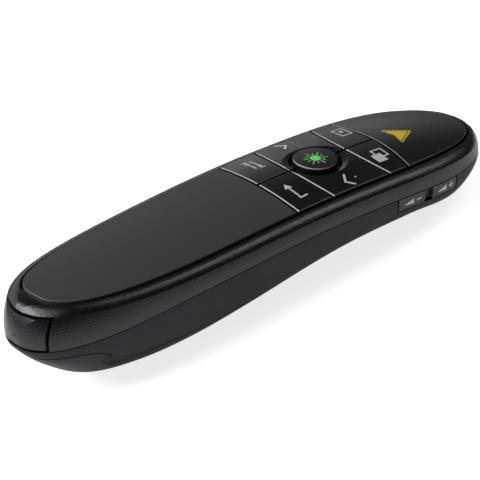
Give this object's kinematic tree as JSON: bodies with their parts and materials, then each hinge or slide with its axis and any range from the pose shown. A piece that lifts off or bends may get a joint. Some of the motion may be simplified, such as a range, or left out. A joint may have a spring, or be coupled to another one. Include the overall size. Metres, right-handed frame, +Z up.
{
  "type": "wireless presentation clicker",
  "caption": "Slim black hand-held slide clicker with a deck of press keys, a round laser button, side volume keys, battery door and stowed USB receiver.",
  "frame": {"origin": "middle of the length and width, on the plane the clicker rests on", "axes": "+X from the tail with the receiver to the laser end, +Y to the holder's left, +Z up through the keys"},
  "size_m": [0.1484, 0.0379, 0.0287],
  "materials": {
    "band_plastic": "fine spark texture, satin black",
    "lower_plastic": "fine spark texture, satin black",
    "rear_panel_plastic": "matte soft-touch charcoal",
    "front_panel_plastic": "satin dark grey",
    "key_plastic": "smooth satin black",
    "button_plastic": "smooth satin black",
    "side_button_plastic": "satin dark grey",
    "slider_plastic": "satin dark grey",
    "switch_plastic": "black moulded",
    "inner_plastic": "black moulded",
    "cell_sleeve": "printed shrink sleeve, plain",
    "spring_steel": "nickel plated",
    "receiver_plastic": "satin black",
    "plug_steel": "nickel plated",
    "gold_plate": "gold plated",
    "circuit_board": "green solder resist",
    "chip_plastic": "moulded epoxy",
    "lamp_plastic": "smoked clear",
    "barrel_brass": "turned",
    "lens_glass": "coated",
    "bezel_plastic": "gloss black",
    "screw_steel": "black zinc"
  },
  "bodies": {
    "housing": {"upper_housing": "band_plastic", "lower_housing": "lower_plastic", "rear_panel": "rear_panel_plastic", "front_panel": "front_panel_plastic", "power_switch": "switch_plastic", "battery_tray": "inner_plastic", "battery_left": "cell_sleeve", "battery_right": "cell_sleeve", "battery_springs": "spring_steel", "battery_plates": "spring_steel", "receiver_bay": "inner_plastic", "main_board": "circuit_board", "key_switches": "switch_plastic", "controller_chip": "chip_plastic", "radio_chip": "chip_plastic", "crystal": "spring_steel", "status_led": "lamp_plastic", "laser_barrel": "barrel_brass", "laser_diode": "spring_steel", "laser_lens": "lens_glass", "laser_board": "circuit_board", "laser_bezel": "bezel_plastic", "laser_window": "lens_glass", "side_board": "circuit_board", "side_switches": "switch_plastic", "screws": "screw_steel"},
    "tab_key": {"tab_key": "key_plastic"},
    "enter_key": {"enter_key": "key_plastic"},
    "page_up_key": {"page_up_key": "key_plastic"},
    "page_down_key": {"page_down_key": "key_plastic"},
    "screen_key": {"screen_key": "key_plastic"},
    "window_key": {"window_key": "key_plastic"},
    "laser_button": {"laser_button": "button_plastic"},
    "volume_down_button": {"volume_down_button": "side_button_plastic"},
    "volume_up_button": {"volume_up_button": "side_button_plastic"},
    "power_slider": {"power_slider": "slider_plastic"},
    "battery_door": {"battery_door": "lower_plastic"},
    "receiver": {"receiver_grip": "receiver_plastic", "receiver_plug": "plug_steel", "receiver_tongue": "inner_plastic", "receiver_contacts": "gold_plate", "receiver_board": "circuit_board"}
  },
  "joints": [
    {"name": "tab_key_press", "type": "slide", "parent": "housing", "child": "tab_key", "axis": [0, 0, -1], "range_m": [0, 0.0005], "stiffness_N_per_m": 800},
    {"name": "enter_key_press", "type": "slide", "parent": "housing", "child": "enter_key", "axis": [0, 0, -1], "range_m": [0, 0.0005], "stiffness_N_per_m": 800},
    {"name": "page_up_key_press", "type": "slide", "parent": "housing", "child": "page_up_key", "axis": [0, 0, -1], "range_m": [0, 0.0005], "stiffness_N_per_m": 800},
    {"name": "page_down_key_press", "type": "slide", "parent": "housing", "child": "page_down_key", "axis": [0, 0, -1], "range_m": [0, 0.0005], "stiffness_N_per_m": 800},
    {"name": "screen_key_press", "type": "slide", "parent": "housing", "child": "screen_key", "axis": [0, 0, -1], "range_m": [0, 0.0005], "stiffness_N_per_m": 800},
    {"name": "window_key_press", "type": "slide", "parent": "housing", "child": "window_key", "axis": [0, 0, -1], "range_m": [0, 0.0005], "stiffness_N_per_m": 800},
    {"name": "laser_button_press", "type": "slide", "parent": "housing", "child": "laser_button", "axis": [0, 0, -1], "range_m": [0, 0.0005], "stiffness_N_per_m": 800},
    {"name": "volume_down_button_press", "type": "slide", "parent": "housing", "child": "volume_down_button", "axis": [0, 1, 0], "range_m": [0, 0.0004], "stiffness_N_per_m": 800},
    {"name": "volume_up_button_press", "type": "slide", "parent": "housing", "child": "volume_up_button", "axis": [0, 1, 0], "range_m": [0, 0.0004], "stiffness_N_per_m": 800},
    {"name": "power_slide", "type": "slide", "parent": "housing", "child": "power_slider", "axis": [1, 0, 0], "range_m": [0, 0.003]},
    {"name": "battery_door_slide", "type": "slide", "parent": "housing", "child": "battery_door", "axis": [-1, 0, 0], "range_m": [0, 0.04]},
    {"name": "receiver_slide", "type": "slide", "parent": "housing", "child": "receiver", "axis": [-1, 0, 0], "range_m": [0, 0.03]}
  ]
}
